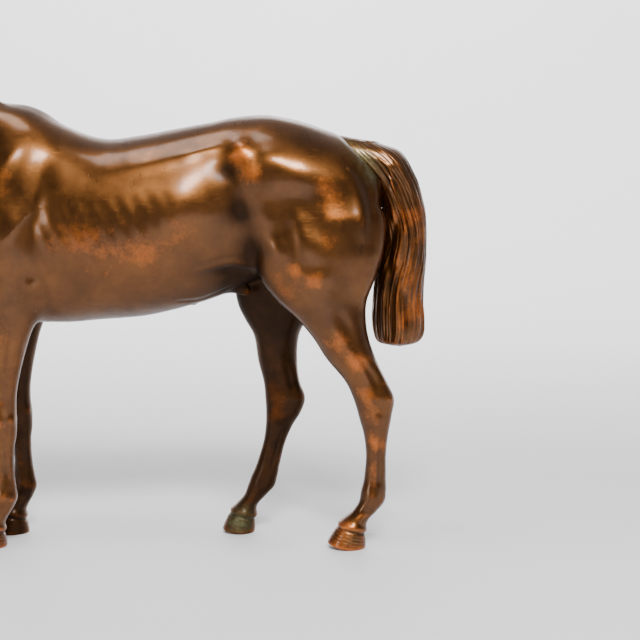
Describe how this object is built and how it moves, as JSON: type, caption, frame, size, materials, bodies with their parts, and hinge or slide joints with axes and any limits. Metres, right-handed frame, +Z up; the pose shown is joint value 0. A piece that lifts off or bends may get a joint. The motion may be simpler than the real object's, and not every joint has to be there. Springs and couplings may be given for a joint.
{
  "type": "horse statuette",
  "caption": "Standing bronze horse, head up and tail hanging, cast in sections that are joined by pinned sleeves and tenons.",
  "frame": {"origin": "on the surface that the hooves stand on, under the middle of the box around the whole horse", "axes": "+Z up, the horse faces -X, its left side is -Y"},
  "size_m": [0.2935, 0.0562, 0.2513],
  "materials": {
    "patinated_bronze": "warm brown patina under wax, rubbed to copper on the high places and nearly black in the hollows",
    "pin_bronze": "drawn bronze rod, filed flush and patinated brown"
  },
  "bodies": {
    "root": {"trunk_casting": "patinated_bronze", "neck_casting": "patinated_bronze", "head_casting": "patinated_bronze", "tail_casting": "patinated_bronze", "left_hind_leg": "patinated_bronze", "right_hind_leg": "patinated_bronze", "left_foreleg": "patinated_bronze", "right_foreleg": "patinated_bronze", "left_hind_leg_pin": "pin_bronze", "right_hind_leg_pin": "pin_bronze", "left_foreleg_pin": "pin_bronze", "right_foreleg_pin": "pin_bronze", "left_neck_pin": "pin_bronze", "right_neck_pin": "pin_bronze", "head_pin": "pin_bronze", "tail_pin": "pin_bronze", "back_core_plug": "pin_bronze", "belly_core_plug_front": "pin_bronze", "belly_core_plug_rear": "pin_bronze", "chest_core_plug": "pin_bronze", "left_flank_core_plug": "pin_bronze", "right_flank_core_plug": "pin_bronze", "left_neck_core_plug": "pin_bronze", "right_neck_core_plug": "pin_bronze"}
  },
  "joints": []
}
